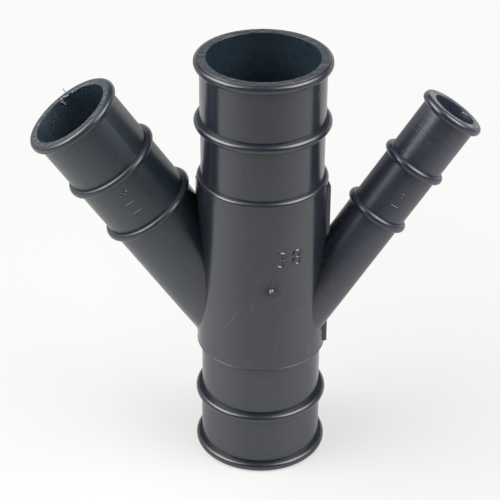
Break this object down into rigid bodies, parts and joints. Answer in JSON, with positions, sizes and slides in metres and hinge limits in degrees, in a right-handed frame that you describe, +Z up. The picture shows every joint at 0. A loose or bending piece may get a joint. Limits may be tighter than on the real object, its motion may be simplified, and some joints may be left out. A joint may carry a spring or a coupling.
{
  "type": "hose manifold",
  "caption": "Moulded black plastic hose manifold: an upright straight tube with beaded hose ends and two beaded branches of different bore leaning to either side.",
  "frame": {"origin": "centre of the main tube's lower mouth, in the plane of its end face", "axes": "+Z up along the main tube, +X towards the narrow branch, -X towards the wide branch, -Y is the front with the gate mark"},
  "size_m": [0.1357, 0.0424, 0.1383],
  "materials": {
    "black_plastic": "satin"
  },
  "bodies": {
    "root": {"manifold_body": "black_plastic"}
  },
  "joints": []
}
